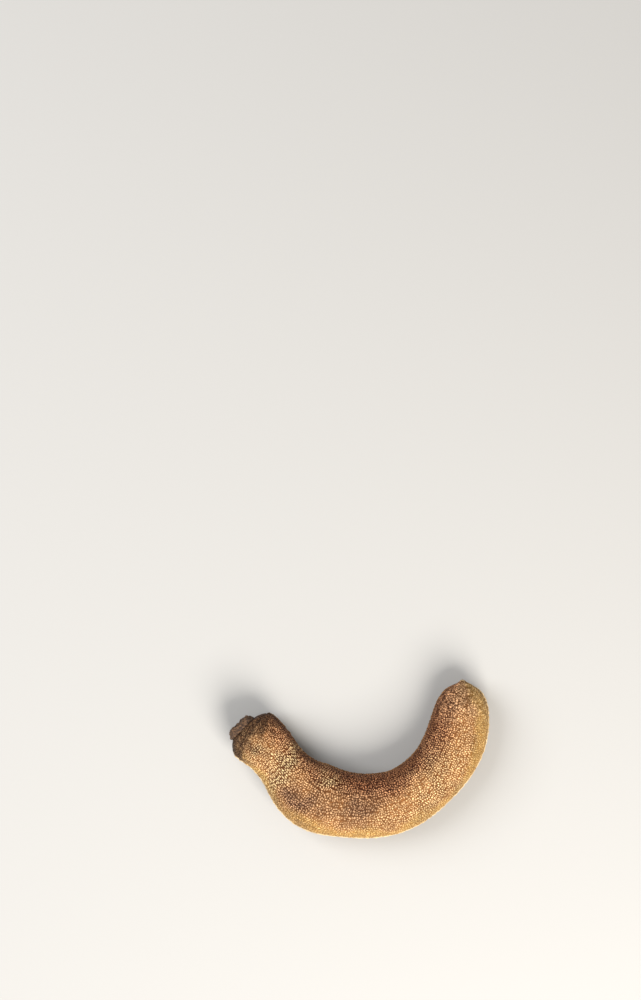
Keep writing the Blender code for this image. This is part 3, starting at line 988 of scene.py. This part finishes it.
def shell_material(colours):
    """Pale grains with dark gaps, golden beside the outer seam, red-brown in the hollow and darkened deep
    in it as painted shade.
    """
    sheet = Sheet("tamarind_shell")
    where = sheet.add("ShaderNodeTexCoord").outputs["Object"]
    grain, random = grain_pattern(sheet, where)
    share = sheet.maths("MULTIPLY", grain, sheet.step(random, 0, 1, *GRAIN_STRENGTH))
    scurf = sheet.noise(where, SCURF_SIZE, 4.0, 0.65)
    worn = sheet.patches(where, *WORN)

    colour = grainy_skin(sheet, where, share, random, scurf, colours)
    colour = add_bare_skin(sheet, where, colour, grain, colours)
    colour = add_seam_lines(sheet, where, colour, worn, colours)
    colour = add_beak(sheet, colour, worn, colours)

    pocks = sheet.noise(where, POCK_SIZE)
    height = sheet.maths("MULTIPLY_ADD", share, GRAIN_BUMP, sheet.maths("MULTIPLY", pocks, POCK_BUMP))
    sheet.dress(colour, sheet.maths("MULTIPLY_ADD", scurf, SCURF_BUMP, height))
    sheet.feed(sheet.shader.inputs["Roughness"], sheet.step(grain, 0, 1, *SHELL_ROUGHNESS))
    sheet.shader.inputs["Specular IOR Level"].default_value = 0.12
    return sheet.material


class TAMARIND_OT_shell(bpy.types.Operator):
    """Builds the pod's shell, in one piece from the stalk end to the beak"""

    bl_idname = "tamarind.shell"
    bl_label = "Shell"

    def execute(self, context):
        scene = context.scene
        mesh = make_shell_mesh(scene.tamarind_shell)
        place_piece(mesh, shell_material(scene.tamarind_shell_colours), "pod")
        return {"FINISHED"}


STUB_SIDES = 96
STUB_FINE_RINGS = 60
STUB_PROFILE = (
    # height above the foot, radius, share of the roughness
    (0.0, 3.1, 0.0),
    (0.8, 3.6, 0.0),
    (1.0, 4.4, 0.1),
    (0.95, 4.9, 0.2),
    (1.1, 5.4, 0.5),
    (1.6, 5.6, 0.8),
    (2.3, 5.3, 1.0),
    (3.0, 4.9, 1.0),
    (3.6, 4.3, 1.0),
    (3.8, 3.6, 1.0),
    (3.5, 2.6, 1.0),
    (3.0, 1.4, 0.9),
    (2.7, 0.3, 0.6),
)
STUB_FOOT = 1.8
STUB_DISH = 0.05
FACE_START = 8  # the point of the profile where the end face begins

# The stub's roughness: round lumps, layers along the stalk, and torn edges.
LUMP_SIZE = 1.5
LAYER_STEP = 0.42
LAYER_LUMPS = 2.4
LAYER_SHARE = 0.7
TORN_SIZE = 0.55
TORN_SHARE = 0.4
TORN_SHARE_ALONG = 0.3

# The wood: fibres with cracks between them, and on the end face rings round a middle that is darker.
FIBRE_SIZE = 0.55
FIBRE_STRETCH = 0.3  # the smaller, the longer the fibres are along the stalk
FIBRE_EDGE = (0.35, 0.68)
CRACK_SIZE = 0.3
CRACK_EDGE = (0.36, 0.5)
WOOD_RING = 0.75
RING_WAVES = (1.5, 3.0, 0.0, 2 * WOOD_RING, 0.3)
RING_SHADES = (0.5, 1.15)
FACE_MIDDLE_DARKENING = (0.5, 1.9, 0.45, 1.0)
FACE_EDGE = (4.3, 3.8)
FIBRE_BUMP = 0.2
CRACK_BUMP = 0.1


def stub_skin(spot, angle, length, size):
    """How far a spot on the stub stands out and how far along it is moved, with lumps of a size."""
    turned = (LAYER_LUMPS * math.cos(angle), LAYER_LUMPS * math.sin(angle), length / LAYER_STEP)
    torn = noise.noise(spot / TORN_SIZE)
    lumps = noise.noise(spot / LUMP_SIZE) + LAYER_SHARE * noise.noise(turned) + TORN_SHARE * torn
    ragged = noise.noise(spot.yzx / LUMP_SIZE) + TORN_SHARE_ALONG * torn
    return size * lumps, size * ragged


def make_stub_mesh(settings):
    """The mesh of the stub: a low, rough crust of torn wood, dished where the stalk broke off."""
    profile = np.array(STUB_PROFILE)
    steps = np.hypot(np.diff(profile[:, 0]), np.diff(profile[:, 1]))
    run = np.concatenate([[0], np.cumsum(steps)])
    at = np.linspace(0, run[-1], STUB_FINE_RINGS)
    height, radius, share = (natural_spline(run, column)(at) for column in profile.T)
    share = np.clip(share, 0, 1)
    turn = np.arange(STUB_SIDES) * 2 * math.pi / STUB_SIDES
    way = np.array([*FORM.along(0.0), 0.0])
    sideways = FORM.outward(0.0)
    foot = FORM.middle(STUB_FOOT) + SOCKET_SHIFT * sideways
    rings = []
    for high, wide, rough, length in zip(height, radius, share, at):
        ring = []
        for angle in turn:
            about = math.cos(angle) * sideways + math.sin(angle) * np.array([0.0, 0.0, 1.0])
            spot = Vector(about * wide + way * high)
            out, up = stub_skin(spot, angle, length, rough * settings.lump_height / MM)
            ring.append(foot - way * (high + up) + about * (wide + out))
        rings.append(ring)
    tip = foot - way * (height[-1] - STUB_DISH)
    mesh = ring_mesh("stalk_stub_wood", np.array(rings[::-1]), tip, foot)
    on_face = np.where(at > run[FACE_START], radius, FAR)[::-1]
    store(mesh, "from_face_middle", np.append(np.repeat(on_face, STUB_SIDES), [0, FAR]))
    return mesh


def stub_material(settings):
    """Weathered wood with dark cracks between its fibres."""
    sheet = Sheet("stalk_wood")
    where = sheet.add("ShaderNodeTexCoord").outputs["Object"]
    way = FORM.along(0.0)
    turn = (0, 0, -math.atan2(way[1], way[0]))
    inputs = {"Vector": where, "Rotation": turn, "Scale": (FIBRE_STRETCH, 1, 1)}
    along_fibres = sheet.add("ShaderNodeMapping", inputs).outputs[0]
    fibres = sheet.noise(along_fibres, FIBRE_SIZE, 5.0, 0.65)
    crack = sheet.step(sheet.noise(along_fibres, CRACK_SIZE), *CRACK_EDGE)
    share = sheet.maths("MULTIPLY", sheet.step(fibres, *FIBRE_EDGE), crack)
    colour = sheet.mix(share, settings.dark, settings.pale)

    from_face_middle = sheet.field("from_face_middle")
    wavy = sheet.patches(where, *RING_WAVES)
    turns = sheet.maths("MULTIPLY", sheet.maths("ADD", from_face_middle, wavy), 2 * math.pi / WOOD_RING)
    wood_rings = sheet.step(sheet.maths("SINE", turns), -1, 1, *RING_SHADES)
    face = sheet.maths("MULTIPLY", wood_rings, sheet.step(from_face_middle, *FACE_MIDDLE_DARKENING))
    on_face = sheet.step(from_face_middle, *FACE_EDGE)
    colour = sheet.shade(colour, sheet.between(on_face, 1.0, face))

    height = sheet.maths("MULTIPLY", fibres, FIBRE_BUMP)
    sheet.dress(colour, sheet.maths("ADD", height, sheet.maths("MULTIPLY", crack, CRACK_BUMP)))
    sheet.shader.inputs["Roughness"].default_value = 0.9
    return sheet.material


class TAMARIND_OT_stub(bpy.types.Operator):
    """Builds the woody stub of the stalk"""

    bl_idname = "tamarind.stub"
    bl_label = "Stalk stub"

    def execute(self, context):
        settings = context.scene.tamarind_stub
        place_piece(make_stub_mesh(settings), stub_material(settings), "stalk_stub")
        return {"FINISHED"}


# The lights: where each shines from, its distance and width in metres, and its colour.
KEY_LIGHT = ((0.45, -0.9, 1.0), 0.8, 0.5, (1.0, 0.97, 0.92))
FILL_LIGHT = ((-0.8, 0.3, 0.9), 1.0, 0.7, (0.95, 0.97, 1.0))
FILL_SHARE = 0.85  # how strong the fill light is beside the key light
SKY_COLOUR = (1.0, 0.99, 0.97, 1.0)


def add_floor(settings):
    """The pale floor that the pod lies on."""
    half = settings.floor_size / 2
    corners = [(-half, -half, 0), (half, -half, 0), (half, half, 0), (-half, half, 0)]
    mesh = bpy.data.meshes.new("floor")
    mesh.from_pydata(corners, [], [(0, 1, 2, 3)])
    sheet = Sheet("pale_floor")
    sheet.shader.inputs["Base Color"].default_value = opaque(settings.floor_colour)
    sheet.shader.inputs["Roughness"].default_value = 0.85
    mesh.materials.append(sheet.material)
    floor = bpy.data.objects.new("floor", mesh)
    bpy.context.scene.collection.objects.link(floor)


def add_light(name, direction, distance, size, colour, power):
    """A soft square light that shines at the pod from a direction."""
    data = bpy.data.lights.new(name, "AREA")
    data.size = size
    data.energy = power
    data.color = colour
    light = bpy.data.objects.new(name, data)
    light.location = Vector(direction).normalized() * distance
    light.rotation_euler = Vector(direction).to_track_quat("Z", "Y").to_euler()
    bpy.context.scene.collection.objects.link(light)


def add_camera(settings):
    """A camera straight above, whose view puts the pod where it is in the photograph."""
    data = bpy.data.cameras.new("camera")
    view_length = PHOTO_SIZE[1] * MM_PER_PIXEL * MM
    data.sensor_width = 36.0
    data.lens = data.sensor_width * (settings.camera_height - POD_MID_HEIGHT) / view_length
    data.clip_end = 20.0
    camera = bpy.data.objects.new("camera", data)
    x = (VIEW_PIXEL[0] - ORIGIN_PIXEL[0]) * MM_PER_PIXEL * MM
    y = (ORIGIN_PIXEL[1] - VIEW_PIXEL[1]) * MM_PER_PIXEL * MM
    camera.location = (x, y, settings.camera_height)
    bpy.context.scene.collection.objects.link(camera)
    bpy.context.scene.camera = camera


class TAMARIND_OT_stage(bpy.types.Operator):
    """Adds the floor, the lights and the camera"""

    bl_idname = "tamarind.stage"
    bl_label = "Stage"

    def execute(self, context):
        settings = context.scene.tamarind_stage
        add_floor(settings)
        add_light("key", *KEY_LIGHT, settings.key_power)
        add_light("fill", *FILL_LIGHT, settings.key_power * FILL_SHARE)
        world = context.scene.world or bpy.data.worlds.new("world")
        context.scene.world = world
        world.use_nodes = True
        sky = world.node_tree.nodes["Background"]
        sky.inputs["Color"].default_value = SKY_COLOUR
        sky.inputs["Strength"].default_value = settings.sky_strength
        context.scene.view_settings.view_transform = "Standard"
        add_camera(settings)
        return {"FINISHED"}


class TAMARIND_PT_panel(bpy.types.Panel):
    """Lists the pieces and the stage in the 3D view's sidebar."""

    bl_label = "Tamarind pod"
    bl_idname = "TAMARIND_PT_panel"
    bl_space_type = "VIEW_3D"
    bl_region_type = "UI"
    bl_category = "Tamarind"

    def draw(self, context):
        for operator in OPERATORS:
            self.layout.operator(operator.bl_idname)


OPERATORS = (TAMARIND_OT_shell, TAMARIND_OT_stub, TAMARIND_OT_stage)
SETTINGS = {
    "tamarind_shell": ShellSettings,
    "tamarind_shell_colours": ShellColours,
    "tamarind_stub": StubSettings,
    "tamarind_stage": StageSettings,
}


def register():
    """Adds the classes and the settings to Blender."""
    for group in (*SETTINGS.values(), *OPERATORS, TAMARIND_PT_panel):
        bpy.utils.register_class(group)
    for name, group in SETTINGS.items():
        setattr(bpy.types.Scene, name, PointerProperty(type=group))


def unregister():
    """Takes them out again."""
    for name in SETTINGS:
        delattr(bpy.types.Scene, name)
    for group in (TAMARIND_PT_panel, *reversed(OPERATORS), *SETTINGS.values()):
        bpy.utils.unregister_class(group)


def main():
    """Builds everything, in order."""
    register()
    bpy.ops.tamarind.shell()
    bpy.ops.tamarind.stub()
    bpy.ops.tamarind.stage()


if __name__ == "__main__":
    main()
